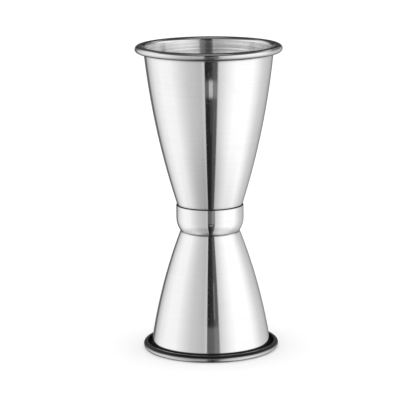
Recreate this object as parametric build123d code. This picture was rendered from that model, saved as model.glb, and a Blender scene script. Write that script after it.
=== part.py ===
from build123d import *
from math import sqrt
import os

# Double jigger, in millimetres. It stands on the rim of its lower cup: z = 0 is the table, +Z is up,
# and the Z axis is the axis of revolution.

# Overall sizes and sheet thicknesses
overall_height = 88.0
upper_rim_diameter = 42.0
lower_rim_diameter = 39.0
cup_sheet = 0.5
collar_sheet = 0.3

# Waist: heights above the table. The collar's mouth clears the wall of the upper cup by seat_gap.
lower_cup_height = 34.5
collar_top = 42.0
collar_straight_height = 3.7
seat_gap = 0.02

# Cup walls, measured on the outside: the radius at the floor, the radius at the flat of the rim,
# and how far the wall bows outward between them
upper_foot_radius = 6.95
upper_wall_rim_radius = 18.6
upper_wall_bow = 1.65
lower_foot_radius = 8.5
lower_wall_rim_radius = 17.3
lower_wall_bow = 1.0

# Rims: the wall bends out to a narrow flat, then curls back over it as an open hollow tube
curl_radius = 1.0
curl_past_top = 15.0
rim_bend_radius = 0.6

# Other bends, measured on the outside of the pressing, and the rounding of trimmed edges
cup_floor_bend = 0.6
collar_floor_bend = 0.6
lip_round = 0.15
collar_edge_round = 0.1

# Spot welds: nuggets on one circle, each with a shallow electrode mark in both cup floors
weld_count = 3
weld_circle_radius = 3.6
nugget_radius = 1.5
nugget_depth_in_cup = 0.2
nugget_edge_round = 0.12
electrode_radius = 2.0
electrode_crown_radius = 12.0
electrode_mark_depth = 0.1

# The two cup floors clamp the collar floor between them
upper_cup_base = lower_cup_height + collar_sheet
upper_cup_height = overall_height - upper_cup_base
nugget_height = collar_sheet + 2 * nugget_depth_in_cup
nugget_base = lower_cup_height - nugget_depth_in_cup
weld_places = PolarLocations(weld_circle_radius, weld_count)

# Outlines are drawn with x as the radius and y as the height above the cup's own rim, mouth down
upper_wall = SagittaArc(
    (upper_foot_radius, upper_cup_height), (upper_wall_rim_radius, cup_sheet), upper_wall_bow
)
lower_wall = SagittaArc(
    (lower_foot_radius, lower_cup_height), (lower_wall_rim_radius, cup_sheet), lower_wall_bow
)


def wall_radius(wall, height):
    """The outside radius of a cup wall at one height above its rim."""
    rise = height - wall.arc_center.Y
    return wall.arc_center.X + sqrt(wall.radius**2 - rise**2)


def round_corner(line, corner, radius):
    """Round the one corner of an open line that lies at the given point."""
    nearest = min(line.vertices(), key=lambda vertex: (Vector(vertex) - corner).length)
    return line.fillet_2d(radius, [nearest])


def spin_sheet(line, sheet, free_end, end_round):
    """Thicken an open line to its inner side by the sheet, round its free edge and spin it round Z."""
    section = make_face(offset(line, amount=sheet, side=Side.RIGHT).edges())
    edge_corners = section.vertices().sort_by_distance(free_end)[:2]
    section = fillet(edge_corners, end_round)
    return revolve(Plane.XZ * section, axis=Axis.Z)


def pressed_cup(wall, rim_radius):
    """A cup with its mouth down and its rim on z = 0: flat floor, bowed wall, flat rim and curl."""
    floor_corner = wall @ 0
    rim_corner = wall @ 1
    curl_centre = (rim_radius - curl_radius, curl_radius)
    floor = Line((0, floor_corner.Y), floor_corner)
    flat = Line(rim_corner, (curl_centre[0], cup_sheet))
    curl = CenterArc(curl_centre, curl_radius - cup_sheet, -90, 180 + curl_past_top)

    line = Wire([floor.edge(), wall.edge(), flat.edge(), curl.edge()])
    line = round_corner(line, floor_corner, cup_floor_bend)
    line = round_corner(line, rim_corner, rim_bend_radius)
    return spin_sheet(line, cup_sheet, curl @ 1, lip_round)


def weld_nugget():
    """One nugget: a flat round button of fused metal, centred on the origin."""
    button = Cylinder(nugget_radius, nugget_height)
    return fillet(button.edges().filter_by(GeomType.CIRCLE), nugget_edge_round)


def electrode_marks(floor_level, side):
    """The crowned electrode tips sunk into a floor; side is +1 for its upper face, -1 for its lower."""
    crown = Pos(0, 0, side * electrode_crown_radius) * Sphere(electrode_crown_radius)
    tip = crown & Cylinder(electrode_radius, electrode_radius)
    sunk_level = floor_level - side * electrode_mark_depth
    return [place * Pos(0, 0, sunk_level) * tip for place in weld_places]


def make_spot_welds():
    middle = nugget_base + nugget_height / 2
    return [place * Pos(0, 0, middle) * weld_nugget() for place in weld_places]


def make_lower_cup(nuggets):
    cup = pressed_cup(lower_wall, lower_rim_diameter / 2)
    marks = electrode_marks(lower_cup_height - cup_sheet, -1)
    return cup - marks - nuggets


def make_upper_cup(nuggets):
    cup = pressed_cup(upper_wall, upper_rim_diameter / 2)
    upright = Pos(0, 0, overall_height) * Rot(180, 0, 0) * cup
    marks = electrode_marks(upper_cup_base + cup_sheet, 1)
    return upright - marks - nuggets


def make_waist_collar(nuggets):
    """A shallow cup, mouth up: a flat floor, a rounded shoulder and a short straight band."""
    bore = wall_radius(upper_wall, overall_height - collar_top) + seat_gap
    outside = bore + collar_sheet
    straight_base = (outside, collar_top - collar_straight_height)
    floor_corner = Vector(lower_foot_radius, lower_cup_height)
    band = Line((outside, collar_top), straight_base)
    shoulder = TangentArc(straight_base, floor_corner, tangent=(0, -1))
    floor = Line(floor_corner, (0, lower_cup_height))

    line = Wire([band.edge(), shoulder.edge(), floor.edge()])
    line = round_corner(line, floor_corner, collar_floor_bend)
    return spin_sheet(line, collar_sheet, band @ 0, collar_edge_round) - nuggets


def save(name, solids):
    """Write the solids of one node to its own file."""
    for solid in solids:
        solid.label = name
    export_step(Compound(label=name, children=solids), f"parts/{name}.step")


os.makedirs("parts", exist_ok=True)
nuggets = make_spot_welds()
save("spot_welds", [nugget.solid() for nugget in nuggets])
save("lower_cup", [make_lower_cup(nuggets).solid()])
save("upper_cup", [make_upper_cup(nuggets).solid()])
save("waist_collar", [make_waist_collar(nuggets).solid()])
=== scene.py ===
import bpy
from math import asin, atan2, cos, degrees, pi, radians, sin, sqrt
from mathutils import Matrix, Vector


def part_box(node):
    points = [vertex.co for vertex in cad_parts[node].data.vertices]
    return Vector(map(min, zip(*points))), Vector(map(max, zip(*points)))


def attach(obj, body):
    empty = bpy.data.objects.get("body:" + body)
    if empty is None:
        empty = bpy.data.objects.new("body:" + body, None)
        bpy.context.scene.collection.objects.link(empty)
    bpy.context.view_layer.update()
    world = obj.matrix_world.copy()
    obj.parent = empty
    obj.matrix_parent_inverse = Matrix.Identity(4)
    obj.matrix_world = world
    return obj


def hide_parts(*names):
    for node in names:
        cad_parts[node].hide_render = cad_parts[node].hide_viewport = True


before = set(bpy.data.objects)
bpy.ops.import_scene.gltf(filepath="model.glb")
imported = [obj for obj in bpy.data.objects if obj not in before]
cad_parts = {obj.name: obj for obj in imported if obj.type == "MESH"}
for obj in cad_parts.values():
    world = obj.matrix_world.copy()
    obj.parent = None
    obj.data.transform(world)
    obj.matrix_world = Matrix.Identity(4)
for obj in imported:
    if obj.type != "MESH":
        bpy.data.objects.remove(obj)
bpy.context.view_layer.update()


# Lower cup: the smaller measure, turned mouth down. One pressing of 0.5 mm stainless sheet, drawn
# from a disc, its rim bent out to a narrow flat that the jigger stands on and curled back into an
# open hollow roll. Buffed bright outside, left with the lines of the spinning lathe inside.
mm = 0.001
cup_sheet = 0.5 * mm
curl_radius = 1.0 * mm
curl_past_top = 15
rim_bend = 0.6 * mm
floor_bend = 0.6 * mm
lip_round = 0.15 * mm

lower_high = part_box("lower_cup")[1]
lower_rim_radius = lower_high[0]
lower_cup_height = lower_high[2]
lower_foot_radius = 8.5 * mm
lower_wall_rim_radius = 17.3 * mm
lower_wall_bow = 1.0 * mm

# The wall behind the curl is painted near black, as shade, up to this height above the rim.
shaded_wall_height = 2.15 * mm

# How finely the turned faces are divided: round the axis, and along a wall and a cup's floor.
steps_around = 192
wall_steps = 56
floor_steps = 30

# Three pairs of crowned electrodes welded the floors together, each sinking in slightly.
weld_circle_radius = 3.6 * mm
weld_angles = (0, 120, 240)
electrode_crown_radius = 12 * mm
electrode_mark_depth = 0.1 * mm

# The finish of each stretch of an outline, by its place in the list of a pressing's steels.
# The unreached stretches are painted near black: painted shade in the curl's hollow and on the wall behind
# it, and on faces that are hidden.
buffed, rolled, spun, unreached_shaded = 0, 1, 2, 3

# Two heights or radii this close are the same one.
touching = 0.0001 * mm


def spoke(angle):
    """A direction of length one at an angle in degrees."""
    return Vector((cos(radians(angle)), sin(radians(angle))))


def straight(start, end, finish, steps):
    """A straight stretch of an outline, its face to the left of its direction."""
    run = Vector(end) - Vector(start)
    facing = Vector((-run.y, run.x)).normalized()
    points = [Vector(start) + run * step / steps for step in range(steps + 1)]
    return [(point, facing, finish) for point in points]


def arc(centre, radius, start, end, finish, steps):
    """An arc of an outline, in degrees; a clockwise one faces away from its centre."""
    side = 1 if end < start else -1
    spokes = [spoke(start + (end - start) * step / steps) for step in range(steps + 1)]
    return [(Vector(centre) + one * radius, one * side, finish) for one in spokes]


def join(*stretches):
    """One outline from stretches that each begin where the one before ends."""
    outline = list(stretches[0])
    for stretch in stretches[1:]:
        outline += stretch[1:]
    return outline


def bowed_wall(foot, rim, bow):
    """The centre and radius of the arc from foot to rim that bows outward by bow."""
    chord = Vector(rim) - Vector(foot)
    radius = (chord.length**2 / 4 + bow**2) / (2 * bow)
    outward = Vector((-chord.y, chord.x)).normalized()
    centre = (Vector(foot) + Vector(rim)) / 2 + outward * (bow - radius)
    return centre, radius


def curl_outline(centre):
    """The curl from its flat to its lip and back: hollow side, trimmed edge with round corners, face."""
    lip = 90 + curl_past_top
    hollow_radius = curl_radius - cup_sheet
    hollow_corner = hollow_radius + lip_round
    face_corner = curl_radius - lip_round
    hollow_end = lip - degrees(asin(lip_round / hollow_corner))
    face_start = lip - degrees(asin(lip_round / face_corner))
    hollow_centre = centre + spoke(hollow_end) * hollow_corner
    face_centre = centre + spoke(face_start) * face_corner
    hollow_rounding = arc(hollow_centre, lip_round, hollow_end + 180, lip + 90, rolled, steps=5)
    face_rounding = arc(face_centre, lip_round, lip + 90, face_start, rolled, steps=6)
    return join(
        # The hollow side of the curl takes the near-black painted shade.
        arc(centre, hollow_radius, -90, hollow_end, unreached_shaded, steps=30),
        hollow_rounding,
        straight(hollow_rounding[-1][0], face_rounding[0][0], rolled, steps=2),
        face_rounding,
        arc(centre, curl_radius, face_start, -90, rolled, steps=56),
    )


def cup_outline(foot_radius, wall_rim_radius, bow, height, rim_radius):
    """The closed section of a cup, mouth down with its rim on zero: x is radius, y is height."""
    wall_centre, wall_radius = bowed_wall((foot_radius, height), (wall_rim_radius, cup_sheet), bow)
    corner_y = height - floor_bend
    corner_x = wall_centre.x + sqrt((wall_radius - floor_bend) ** 2 - (corner_y - wall_centre.y) ** 2)
    bend_y = cup_sheet + rim_bend
    bend_x = wall_centre.x + sqrt((wall_radius + rim_bend) ** 2 - (bend_y - wall_centre.y) ** 2)
    top = degrees(atan2(corner_y - wall_centre.y, corner_x - wall_centre.x))
    bottom = degrees(atan2(bend_y - wall_centre.y, bend_x - wall_centre.x))
    hidden = degrees(asin((shaded_wall_height - wall_centre.y) / wall_radius))
    corner = (corner_x, corner_y)
    bend = (bend_x, bend_y)
    curl = Vector((rim_radius - curl_radius, curl_radius))
    inner = height - cup_sheet
    return join(
        straight((0, height), (corner_x, height), unreached_shaded, steps=8),
        arc(corner, floor_bend, 90, top, buffed, steps=10),
        arc(wall_centre, wall_radius, top, hidden, buffed, wall_steps),
        # Below this height the wall behind the curl takes the near-black painted shade.
        arc(wall_centre, wall_radius, hidden, bottom, unreached_shaded, steps=3),
        arc(bend, rim_bend, bottom + 180, 270, unreached_shaded, steps=12),
        straight((bend_x, cup_sheet), (curl.x, cup_sheet), unreached_shaded, steps=2),
        curl_outline(curl),
        straight((curl.x, 0), (bend_x, 0), rolled, steps=2),
        arc(bend, rim_bend + cup_sheet, 270, bottom + 180, rolled, steps=14),
        arc(wall_centre, wall_radius - cup_sheet, bottom, top, spun, wall_steps),
        arc(corner, floor_bend - cup_sheet, top, 90, spun, steps=5),
        straight((corner_x, inner), (0, inner), spun, floor_steps),
    )


def electrode_mark(x, y):
    """How deep the welding electrodes sank into a floor at one place, and the slope there."""
    for angle in weld_angles:
        away = Vector((x, y)) - spoke(angle) * weld_circle_radius
        crown = sqrt(electrode_crown_radius**2 - away.length**2)
        depth = electrode_mark_depth - electrode_crown_radius + crown
        if depth > 0:
            return depth, -away / crown
    return 0, Vector((0, 0))


def spin(name, outline, steels, marked_level=None, upside_down_from=None):
    """Turn an outline about Z into rings of faces, or turn it over from a height to stand mouth up."""
    vertices = []
    normals = []
    rings = []
    for point, facing, finish in outline:
        on_axis = point.x < touching
        ring = []
        for step in range(1 if on_axis else steps_around):
            angle = 2 * pi * (step + 0.5) / steps_around
            x = point.x * cos(angle)
            y = point.x * sin(angle)
            z = point.y
            normal = Vector((facing.x * cos(angle), facing.x * sin(angle), facing.y))
            if marked_level is not None and abs(z - marked_level) < touching:
                depth, slope = electrode_mark(x, y)
                z -= facing.y * depth
                normal = Vector((slope.x, slope.y, facing.y)).normalized()
            if upside_down_from is not None:
                z = upside_down_from - z
                normal.z = -normal.z
            ring.append(len(vertices))
            vertices.append((x, y, z))
            normals.append(normal)
        rings.append(ring)

    faces = []
    face_finishes = []
    for place, (near, far) in enumerate(zip(rings, rings[1:])):
        for step in range(steps_around):
            after = (step + 1) % steps_around
            corners = [near[step % len(near)], far[step % len(far)]]
            corners += [far[after % len(far)], near[after % len(near)]]
            corners = list(dict.fromkeys(corners))
            faces.append(corners if upside_down_from is None else corners[::-1])
            face_finishes.append(outline[place + 1][2])

    mesh = bpy.data.meshes.new(name)
    mesh.from_pydata(vertices, [], faces)
    for one in steels:
        mesh.materials.append(one)
    mesh.polygons.foreach_set("material_index", face_finishes)
    mesh.shade_smooth()
    mesh.normals_split_custom_set_from_vertices(normals)
    piece = bpy.data.objects.new(name, mesh)
    bpy.context.scene.collection.objects.link(piece)
    return piece


def node(tree, kind, inputs=None, **settings):
    """Add a node; each of its inputs is given a value, or the output that feeds it."""
    made = tree.nodes.new(kind)
    for name, value in settings.items():
        setattr(made, name, value)
    for key, value in (inputs or {}).items():
        if isinstance(value, bpy.types.NodeSocket):
            tree.links.new(value, made.inputs[key])
        else:
            made.inputs[key].default_value = value
    return made


def sums(tree, operation, *terms):
    """One step of arithmetic between values or outputs."""
    return node(tree, "ShaderNodeMath", dict(enumerate(terms)), operation=operation).outputs[0]


def blend(tree, mask, under, over):
    """One colour laid over another where the mask is high."""
    factor, first_colour, second_colour, result = 0, 6, 7, 2
    sockets = {factor: mask, first_colour: under, second_colour: over}
    return node(tree, "ShaderNodeMix", sockets, data_type="RGBA").outputs[result]


def start_group(name, inputs, output):
    """A node group with plain number inputs and one number output."""
    group = bpy.data.node_groups.new(name, "ShaderNodeTree")
    for label, value in inputs.items():
        socket = group.interface.new_socket(label, in_out="INPUT", socket_type="NodeSocketFloat")
        socket.default_value = value
    group.interface.new_socket(output, in_out="OUTPUT", socket_type="NodeSocketFloat")
    return group, group.nodes.new("NodeGroupInput"), group.nodes.new("NodeGroupOutput")


def place_group(tree, group, **values):
    """Put a group in a material with its own values; its output."""
    made = tree.nodes.new("ShaderNodeGroup")
    made.node_tree = group
    for label, value in values.items():
        made.inputs[label].default_value = value
    return made.outputs[0]


def object_place(tree):
    """Where a point of the surface is on the jigger, in metres."""
    return node(tree, "ShaderNodeTexCoord").outputs["Object"]


def round_the_axis(tree, across, around):
    """A place on a turned surface: across the lines at one scale, and round the axis at another."""
    least_radius = 0.01 * mm
    x, y, z = node(tree, "ShaderNodeSeparateXYZ", {0: object_place(tree)}).outputs
    x_squared = sums(tree, "MULTIPLY", x, x)
    y_squared = sums(tree, "MULTIPLY", y, y)
    radius = sums(tree, "SQRT", sums(tree, "ADD", x_squared, y_squared))
    radius = sums(tree, "MAXIMUM", radius, least_radius)
    turn_x = sums(tree, "MULTIPLY", sums(tree, "DIVIDE", x, radius), around)
    turn_y = sums(tree, "MULTIPLY", sums(tree, "DIVIDE", y, radius), around)
    along = sums(tree, "DIVIDE", sums(tree, "SUBTRACT", z, radius), across)
    return node(tree, "ShaderNodeCombineXYZ", {0: turn_x, 1: turn_y, 2: along}).outputs[0]


# Lathe and buffing lines run round the axis: fine ones everywhere, each dying out part of the way
# round, with the deeper ones in irregular bands.
lathe_lines, given, out = start_group("lathe_lines", {"Spacing": 0.2 * mm, "Turn": 0.5}, "Height")
place = round_the_axis(lathe_lines, given.outputs["Spacing"], given.outputs["Turn"])
fine = node(lathe_lines, "ShaderNodeTexNoise", {
    "Vector": place, "Scale": 1.0, "Detail": 3.0, "Roughness": 0.6,
})
cut = node(lathe_lines, "ShaderNodeMapRange", {
    "Value": fine.outputs["Fac"], "From Min": 0.36, "From Max": 0.66,
})
lines_in_a_band = 9.0
band_turn = 0.6
band_spacing = sums(lathe_lines, "MULTIPLY", given.outputs["Spacing"], lines_in_a_band)
place = round_the_axis(lathe_lines, band_spacing, band_turn)
bands = node(lathe_lines, "ShaderNodeTexNoise", {"Vector": place, "Scale": 1.0, "Detail": 1.0})
band = node(lathe_lines, "ShaderNodeMapRange", {
    "Value": bands.outputs["Fac"], "From Min": 0.3, "From Max": 0.7, "To Min": 0.35,
})
lathe_lines.links.new(sums(lathe_lines, "MULTIPLY", cut.outputs[0], band.outputs[0]), out.inputs[0])

# Drawing leaves the sheet very slightly uneven, in long soft waves.
drawn_waves, given, out = start_group("drawn_waves", {"Size": 12 * mm, "Turn": 2.0}, "Height")
place = round_the_axis(drawn_waves, given.outputs["Size"], given.outputs["Turn"])
waves = node(drawn_waves, "ShaderNodeTexNoise", {"Vector": place, "Scale": 1.0, "Detail": 1.0})
drawn_waves.links.new(waves.outputs["Fac"], out.inputs[0])

# Handling leaves soft cloudy smears on the bright steel.
smears, given, out = start_group("smears", {"Size": 9 * mm, "Cover": 0.5}, "Mask")
cloud = node(smears, "ShaderNodeTexNoise", {
    "Vector": object_place(smears), "Scale": sums(smears, "DIVIDE", 1.0, given.outputs["Size"]),
    "Detail": 4.0, "Roughness": 0.65, "Distortion": 0.6,
})
smear_softness = 0.35
edge = sums(smears, "SUBTRACT", 1.0, given.outputs["Cover"])
soft = node(smears, "ShaderNodeMapRange", {
    "Value": cloud.outputs["Fac"], "From Min": edge, "From Max": sums(smears, "ADD", edge, smear_softness),
}, interpolation_type="SMOOTHSTEP")
smears.links.new(soft.outputs[0], out.inputs[0])

# Use leaves a few fine hairline scratches, slanting across the polish in two directions. The noise
# is squeezed along one axis, so that each of its spots is drawn out to this many times its width.
hairlines, given, out = start_group("hairlines", {"Width": 0.12 * mm}, "Mask")
hairline_stretch = 50
hairline_slants = ((0.5, 0.35, 0.2), (-0.7, 0.3, 1.1))
per_width = sums(hairlines, "DIVIDE", 1.0, given.outputs["Width"])
streaked = 0.0
for slant in hairline_slants:
    slanted = node(hairlines, "ShaderNodeMapping", {
        "Vector": object_place(hairlines), "Rotation": slant, "Scale": (1, 1, 1 / hairline_stretch),
    })
    streaks = node(hairlines, "ShaderNodeTexNoise", {
        "Vector": slanted.outputs[0], "Scale": per_width, "Detail": 0.0,
    })
    thin = node(hairlines, "ShaderNodeMapRange", {
        "Value": streaks.outputs["Fac"], "From Min": 0.7, "From Max": 0.8,
    })
    streaked = sums(hairlines, "MAXIMUM", streaked, thin.outputs[0])
hairlines.links.new(streaked, out.inputs[0])

# Here and there the polish has opened a pinhole in the sheet.
pinholes, given, out = start_group("pinholes", {"Apart": 9 * mm, "Radius": 0.12 * mm}, "Mask")
cells = node(pinholes, "ShaderNodeTexVoronoi", {
    "Vector": object_place(pinholes), "Scale": sums(pinholes, "DIVIDE", 1.0, given.outputs["Apart"]),
    "Randomness": 1.0,
})
from_hole = sums(pinholes, "MULTIPLY", cells.outputs["Distance"], given.outputs["Apart"])
hole = sums(pinholes, "LESS_THAN", from_hole, given.outputs["Radius"])
pinholes.links.new(hole, out.inputs[0])

# Dark painted shade in a seam, a crease or a tight corner, with some buffing compound: strongest at its level
# and uneven round it.
shade_and_compound, given, out = start_group("shade_and_compound", {"Level": 0.0, "Reach": 0.5 * mm, "Strength": 1.0}, "Mask")
shade_and_compound_turn = 3.0
least_shade_and_compound = 0.45
height = node(shade_and_compound, "ShaderNodeSeparateXYZ", {0: object_place(shade_and_compound)}).outputs[2]
away = sums(shade_and_compound, "ABSOLUTE", sums(shade_and_compound, "SUBTRACT", height, given.outputs["Level"]))
reaches_away = sums(shade_and_compound, "DIVIDE", away, given.outputs["Reach"])
near = sums(shade_and_compound, "EXPONENT", sums(shade_and_compound, "MULTIPLY", reaches_away, -1.0))
place = round_the_axis(shade_and_compound, given.outputs["Reach"], shade_and_compound_turn)
uneven = node(shade_and_compound, "ShaderNodeTexNoise", {"Vector": place, "Scale": 1.0, "Detail": 3.0})
patchy = sums(shade_and_compound, "MULTIPLY", near, sums(shade_and_compound, "ADD", uneven.outputs["Fac"], least_shade_and_compound))
patchy = sums(shade_and_compound, "MULTIPLY", patchy, given.outputs["Strength"])
shade_and_compound.links.new(sums(shade_and_compound, "MINIMUM", patchy, 1.0), out.inputs[0])

# What each mark does to the steel it lies on.
smear_darkening = 0.06
smear_roughening = 0.02
scratch_roughening = 0.12
# The near-black laid into pinholes, as compound, and into seams, as painted shade.
compound_and_shade_colour = (0.035, 0.033, 0.031, 1)
compound_roughening = 0.3


def shaded_seam(level, reach, strength):
    """Painted shade, with some compound, at one height: how far it reaches from there, and how strongly it
    darkens.
    """
    return {"Level": level, "Reach": reach, "Strength": strength}


def steel(name, colour, roughness, lines, wave_depth, smear_size, shaded_seams=(), scratched=True):
    """Stainless steel with its lines, waves, smears and pinholes, its seams of painted shade and its
    scratches.
    """
    made = bpy.data.materials.new(name)
    made.use_nodes = True
    tree = made.node_tree
    surface = tree.nodes["Principled BSDF"]
    surface.inputs["Metallic"].default_value = 1.0
    line_height = place_group(tree, lathe_lines, Spacing=lines["spacing"])
    smear = place_group(tree, smears, Size=smear_size)

    smeared = [channel * (1 - smear_darkening) for channel in colour]
    grooved = [channel * (1 - lines["darkening"]) for channel in colour]
    tone = blend(tree, smear, (*colour, 1), (*smeared, 1))
    tone = blend(tree, line_height, tone, (*grooved, 1))
    rough = sums(tree, "MULTIPLY_ADD", line_height, lines["roughening"], roughness)
    rough = sums(tree, "MULTIPLY_ADD", smear, smear_roughening, rough)
    if scratched:
        rough = sums(tree, "MULTIPLY_ADD", place_group(tree, hairlines), scratch_roughening, rough)
    tone = blend(tree, place_group(tree, pinholes), tone, compound_and_shade_colour)
    # Each seam darkens the steel: painted shade, with some compound.
    for one in shaded_seams:
        seam_shade = place_group(tree, shade_and_compound, **one)
        tone = blend(tree, seam_shade, tone, compound_and_shade_colour)
        rough = sums(tree, "MULTIPLY_ADD", seam_shade, compound_roughening, rough)
    tree.links.new(tone, surface.inputs["Base Color"])
    tree.links.new(rough, surface.inputs["Roughness"])

    waved = node(tree, "ShaderNodeBump", {
        "Height": place_group(tree, drawn_waves), "Distance": wave_depth,
    })
    lined = node(tree, "ShaderNodeBump", {
        "Height": line_height, "Distance": lines["depth"], "Normal": waved.outputs[0],
    })
    tree.links.new(lined.outputs[0], surface.inputs["Normal"])
    return made


# The rolled rim has a dark band on the side that faces the wall: painted shade, with some compound. The
# hollow of the curl and the wall behind it are painted near black, as shade.
bright_steel = (0.79, 0.79, 0.80)
bright_roughness = 0.035
wheel_lines = {"spacing": 0.3 * mm, "depth": 0.0001 * mm, "roughening": 0.02, "darkening": 0.03}
roll_lines = {"spacing": 0.12 * mm, "depth": 0.0002 * mm, "roughening": 0.06, "darkening": 0.12}
raw_lines = {"spacing": 0.3 * mm, "depth": 0.002 * mm, "roughening": 0.2, "darkening": 0.3}
inside_lines = {"spacing": 0.36 * mm, "depth": 0.005 * mm, "roughening": 0.08, "darkening": 0.4}

lower_buffed = steel(
    "buffed_lower_cup", bright_steel, bright_roughness, wheel_lines,
    wave_depth=0.003 * mm, smear_size=9 * mm,
    shaded_seams=[
        # Painted shade in the crease against the collar, and a dark line of painted shade in the crevice
        # behind the curl.
        shaded_seam(lower_cup_height, reach=0.2 * mm, strength=0.35),
        shaded_seam(shaded_wall_height, reach=0.08 * mm, strength=1.0),
    ],
)
lower_roll = steel(
    "lower_roll_face", (0.72, 0.72, 0.725), 0.1, roll_lines, wave_depth=0.0, smear_size=3 * mm,
    shaded_seams=[
        # Painted contact shadow where the roll stands on the floor, and a band of painted shade on the upper
        # part of the roll, toward the wall.
        shaded_seam(0.0, reach=0.12 * mm, strength=0.5),
        shaded_seam(1.6 * curl_radius, reach=0.28 * mm, strength=2.4),
    ],
)
# Near-black steel: painted shade for the curl's hollow and the wall behind it.
shaded_back_of_curl = steel(
    "shaded_back_of_curl", (0.05, 0.048, 0.046), 0.45, raw_lines, wave_depth=0.0, smear_size=4 * mm
)

# Inside a measure the lathe's lines are left as they are: light spreads across them, hardly along.
lathe_finish = steel(
    "lathe_finish", (0.93, 0.925, 0.92), 0.14, inside_lines, wave_depth=0.001 * mm, smear_size=14 * mm,
    scratched=False,
)
surface = lathe_finish.node_tree.nodes["Principled BSDF"]
surface.inputs["Anisotropic"].default_value = 1.0
surface.inputs["Anisotropic Rotation"].default_value = 0.25
round_z = node(lathe_finish.node_tree, "ShaderNodeTangent", direction_type="RADIAL", axis="Z")
lathe_finish.node_tree.links.new(round_z.outputs[0], surface.inputs["Tangent"])

lower_cup = spin(
    "lower_measure",
    cup_outline(lower_foot_radius, lower_wall_rim_radius, lower_wall_bow, lower_cup_height, lower_rim_radius),
    [lower_buffed, lower_roll, lathe_finish, shaded_back_of_curl],
    marked_level=lower_cup_height - cup_sheet,
)
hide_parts("lower_cup")
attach(lower_cup, "root")


# Waist collar: a shallow cup of 0.3 mm sheet, mouth up, that hides the joint between the measures.
# Its floor is clamped between theirs, its shoulder flares out from the lower cup's foot, and its
# straight band closes round the wall of the upper cup with a hair's breadth of clearance.
collar_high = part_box("waist_collar")[1]
collar_outside = collar_high[0]
collar_top = collar_high[2]
collar_sheet = 0.3 * mm
collar_straight_height = 3.7 * mm
collar_floor_bend = 0.6 * mm
collar_edge_round = 0.1 * mm


def collar_outline():
    """The closed section of the collar: its inside from the axis to the edge, and its outside back."""
    floor_level = lower_cup_height
    inner_floor = floor_level + collar_sheet
    band_foot = collar_top - collar_straight_height
    drop = band_foot - floor_level
    step_in = collar_outside - lower_foot_radius
    shoulder_radius = (step_in**2 + drop**2) / (2 * step_in)
    shoulder = Vector((collar_outside - shoulder_radius, band_foot))
    bend_y = floor_level + collar_floor_bend
    bend_reach = shoulder_radius - collar_floor_bend
    bend_x = shoulder.x + sqrt(bend_reach**2 - (bend_y - shoulder.y) ** 2)
    bend = (bend_x, bend_y)
    turn = degrees(atan2(bend_y - shoulder.y, bend_x - shoulder.x))
    inside = collar_outside - collar_sheet
    edge_y = collar_top - collar_edge_round
    inner_corner = (inside + collar_edge_round, edge_y)
    outer_corner = (collar_outside - collar_edge_round, edge_y)
    return join(
        straight((0, inner_floor), (bend_x, inner_floor), unreached_shaded, steps=8),
        arc(bend, collar_floor_bend - collar_sheet, -90, turn, unreached_shaded, steps=6),
        arc(shoulder, shoulder_radius - collar_sheet, turn, 0, unreached_shaded, steps=16),
        straight((inside, band_foot), (inside, edge_y), unreached_shaded, steps=4),
        arc(inner_corner, collar_edge_round, 180, 90, rolled, steps=5),
        straight((inner_corner[0], collar_top), (outer_corner[0], collar_top), rolled, steps=1),
        arc(outer_corner, collar_edge_round, 90, 0, rolled, steps=6),
        straight((collar_outside, edge_y), (collar_outside, band_foot), buffed, steps=12),
        arc(shoulder, shoulder_radius, 0, turn, buffed, steps=40),
        arc(bend, collar_floor_bend, turn, -90, buffed, steps=14),
        straight((bend_x, floor_level), (0, floor_level), unreached_shaded, steps=8),
    )


collar_buffed = steel(
    "buffed_collar", bright_steel, 0.05, wheel_lines, wave_depth=0.002 * mm, smear_size=7 * mm,
    shaded_seams=[
        # Painted shade in the gap at the collar's top edge, and in the crease at its foot.
        shaded_seam(collar_top, reach=0.08 * mm, strength=1.2),
        shaded_seam(lower_cup_height, reach=0.4 * mm, strength=0.3),
    ],
)
waist_collar = spin(
    "waist_collar_band", collar_outline(), [collar_buffed, collar_buffed, lathe_finish, shaded_back_of_curl]
)
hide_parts("waist_collar")
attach(waist_collar, "root")


# Upper cup: the larger measure, mouth up. It is pressed, rolled and buffed as the lower cup is, and
# its floor lies on the collar's, so that one set of welds holds all three pressings.
upper_low, upper_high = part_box("upper_cup")
overall_height = upper_high[2]
upper_rim_radius = upper_high[0]
upper_cup_height = upper_high[2] - upper_low[2]
upper_foot_radius = 6.95 * mm
upper_wall_rim_radius = 18.6 * mm
upper_wall_bow = 1.65 * mm

upper_buffed = steel(
    "buffed_upper_cup", bright_steel, bright_roughness, wheel_lines,
    wave_depth=0.003 * mm, smear_size=11 * mm,
    shaded_seams=[
        # Painted shade in the gap above the collar's edge, and under the roll.
        shaded_seam(collar_top, reach=0.2 * mm, strength=1.6),
        shaded_seam(overall_height - shaded_wall_height, reach=0.2 * mm, strength=1.5),
    ],
)
upper_roll = steel(
    "upper_roll_face", (0.74, 0.74, 0.745), 0.09, roll_lines, wave_depth=0.0, smear_size=5 * mm,
    # Painted shade on the underside of the roll, where it meets the wall.
    shaded_seams=[shaded_seam(overall_height - 2 * curl_radius, reach=0.3 * mm, strength=1.8)],
)
upper_cup = spin(
    "upper_measure",
    cup_outline(upper_foot_radius, upper_wall_rim_radius, upper_wall_bow, upper_cup_height, upper_rim_radius),
    [upper_buffed, upper_roll, lathe_finish, shaded_back_of_curl],
    marked_level=upper_cup_height - cup_sheet,
    upside_down_from=overall_height,
)
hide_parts("upper_cup")
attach(upper_cup, "root")


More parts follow.
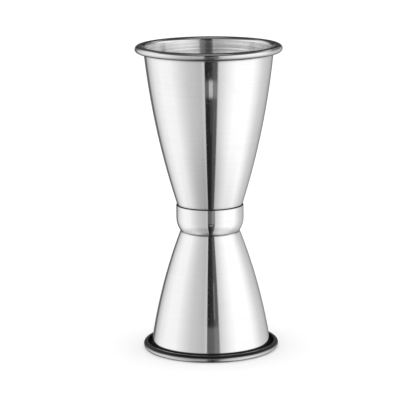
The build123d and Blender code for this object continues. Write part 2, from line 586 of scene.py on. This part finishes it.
# Spot welds: three buttons of fused steel, hidden inside the stacked floors, that hold the two cups
# and the collar together. The heat leaves them straw brown and matt.
weld_ripples = {"spacing": 0.4 * mm, "depth": 0.004 * mm, "roughening": 0.1, "darkening": 0.2}
welded_steel = steel(
    "welded_steel", (0.34, 0.27, 0.2), 0.5, weld_ripples, wave_depth=0.002 * mm, smear_size=2 * mm
)
spot_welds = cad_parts["spot_welds"]
spot_welds.data.materials.clear()
spot_welds.data.materials.append(welded_steel)


# Floor: a plain pale one, matt all over, which shows in the render but not in the bright steel.
floor_radius = 4.0
bpy.ops.mesh.primitive_circle_add(vertices=96, radius=floor_radius, fill_type="NGON")
floor = bpy.context.object
floor.name = "pale_floor"
floor.visible_glossy = False
pale = bpy.data.materials.new("pale_floor")
pale.use_nodes = True
paint = pale.node_tree.nodes["Principled BSDF"]
paint.inputs["Roughness"].default_value = 1.0
paint.inputs["Specular IOR Level"].default_value = 0.0
mottle = node(pale.node_tree, "ShaderNodeTexNoise", {"Scale": 6.0, "Detail": 2.0})
pale.node_tree.links.new(
    blend(pale.node_tree, mottle.outputs["Fac"], (0.9, 0.9, 0.9, 1), (0.92, 0.92, 0.92, 1)),
    paint.inputs["Base Color"],
)
floor.data.materials.append(pale)


# Studio: two tall soft lights with a narrow dark gap between them at the front, a dimmer wall behind,
# and a dark ceiling with a soft light straight overhead. Only what the steel mirrors comes from them:
# all else is lit by an even white from every side.
world = bpy.data.worlds.new("studio")
bpy.context.scene.world = world
world.use_nodes = True
room = world.node_tree
room.nodes.clear()

# Brightness round the object by compass angle: 0 is the front, where the camera stands, 90 the right.
light_round = [
    (-180, 0.22), (-162, 0.20), (-154, 0.13), (-150, 0.18), (-144, 0.60), (-122, 1.0), (-100, 1.17),
    (-75, 1.15), (-55, 0.90), (-40, 0.73), (-15, 0.60), (-8.5, 0.74), (-7, 0.02), (5, 0.035), (9, 0.12),
    (16, 0.13), (17.5, 0.76), (25, 0.90), (38, 1.12), (52, 1.28), (90, 1.28), (118, 0.82), (145, 0.60),
    (156, 0.40), (166, 0.20),
]
looking = node(room, "ShaderNodeTexCoord").outputs["Generated"]
side, depth, rise = node(room, "ShaderNodeSeparateXYZ", {0: looking}).outputs
compass = sums(room, "ARCTAN2", side, sums(room, "MULTIPLY", depth, -1.0))
turn = node(room, "ShaderNodeMapRange", {"Value": compass, "From Min": -pi, "From Max": pi}).outputs[0]


def turn_of(compass_angle):
    """The place of a compass angle along one whole turn, from 0 at -180 degrees to 1 at 180."""
    return (compass_angle + 180) / 360


walls = node(room, "ShaderNodeValToRGB", {0: turn})
stops = walls.color_ramp.elements
stops.remove(stops[-1])
for number, (angle, brightness) in enumerate(light_round):
    stop = stops[0] if number == 0 else stops.new(turn_of(angle))
    stop.position = turn_of(angle)
    stop.color = (brightness, brightness, brightness, 1)


def fade(low, high, low_level, high_level):
    """Brightness by elevation in degrees: one level below low, another above high."""
    return node(room, "ShaderNodeMapRange", {
        "Value": rise, "From Min": sin(radians(low)), "From Max": sin(radians(high)),
        "To Min": low_level, "To Max": high_level,
    }, interpolation_type="SMOOTHSTEP").outputs[0]


def patch(compass_low, compass_high, low, high, brightness):
    """Light added, or taken away, between two compass angles and two elevations, with soft edges."""
    turn_softness = 0.002
    rise_softness = 0.005
    spans = [
        (turn, turn_of(compass_low), turn_of(compass_high), turn_softness),
        (rise, sin(radians(low)), sin(radians(high)), rise_softness),
    ]
    mask = brightness
    for value, start, end, soft in spans:
        for first, last in ((start - soft, start + soft), (end + soft, end - soft)):
            ramp = node(room, "ShaderNodeMapRange", {"Value": value, "From Min": first, "From Max": last})
            mask = sums(room, "MULTIPLY", mask, ramp.outputs[0])
    return mask


dark_ceiling = fade(33, 50, 1.0, 0.09)
dim_table = fade(-46, -28, 0.74, 1.0)
dark_underneath = fade(-84, -62, 0.05, 1.0)
level = sums(room, "MULTIPLY", sums(room, "MULTIPLY", dark_ceiling, dark_underneath), dim_table)
lights = sums(room, "MULTIPLY", walls.outputs[0], level)
overhead = fade(66, 80, 0.0, 0.4)
lights = sums(room, "ADD", lights, overhead)

# Two compass angles, two elevations, and the light added between them. Where it is below nothing, it
# takes light away, as no real lamp does.
patches = [
    (-7.5, 16, -17, 8, 0.11),  # the front gap round eye level and below, dim rather than dark
    (-7, 16, -25.8, -22.8, 0.13),  # a level strip across the gap, lower down
    (0, 7.5, -25.8, -22.8, 0.42),  # the bright middle of that strip
    (3, 5, -32, -27, 0.05),  # a faint glow under that middle
    (6.8, 9.2, 9.8, 18.5, 0.14),  # a slim upright strip high in the gap
    (5, 14, -17, -9, 0.07),  # the paler right side of the gap, below eye level
    (-181, -161, 6, 33, -0.17),  # a dark stretch of the wall behind, above eye level
    (162, 181, 6, 33, -0.17),  # and the rest of it, on the other side of straight behind
    (116, 156, 10, 30, -0.35),  # a dark stretch between the right-hand light and the wall behind
]
for one in patches:
    lights = sums(room, "ADD", lights, patch(*one))

room_light = 1.25
seen_in_steel = node(room, "ShaderNodeBackground", {"Color": (1, 1, 1, 1), "Strength": lights})
elsewhere = node(room, "ShaderNodeBackground", {"Color": (1, 1, 1, 1), "Strength": room_light})
in_steel = node(room, "ShaderNodeLightPath").outputs["Is Glossy Ray"]
both = node(room, "ShaderNodeMixShader", {
    0: in_steel, 1: elsewhere.outputs[0], 2: seen_in_steel.outputs[0],
})
node(room, "ShaderNodeOutputWorld", {"Surface": both.outputs[0]})


# Camera: a long lens a little above the upper rim, looking slightly down at the jigger. Angles are in
# radians, the lens in millimetres.
camera_distance = 0.6
camera_height = 0.163
tilt_down = 0.1971
turn_left = 0.0047
lean = 0.0093
focal_length = 191.7
ahead = Vector((-sin(turn_left) * cos(tilt_down), cos(turn_left) * cos(tilt_down), -sin(tilt_down)))
level_right = Vector((cos(turn_left), sin(turn_left), 0))
level_up = level_right.cross(ahead)
right = level_right * cos(lean) - level_up * sin(lean)
up = level_right * sin(lean) + level_up * cos(lean)
camera = bpy.data.objects.new("camera", bpy.data.cameras.new("camera"))
bpy.context.scene.collection.objects.link(camera)
bpy.context.scene.camera = camera
camera.data.lens = focal_length
camera.matrix_world = Matrix((
    (right.x, up.x, -ahead.x, 0),
    (right.y, up.y, -ahead.y, -camera_distance),
    (right.z, up.z, -ahead.z, camera_height),
    (0, 0, 0, 1),
))
bpy.context.scene.view_settings.view_transform = "Standard"
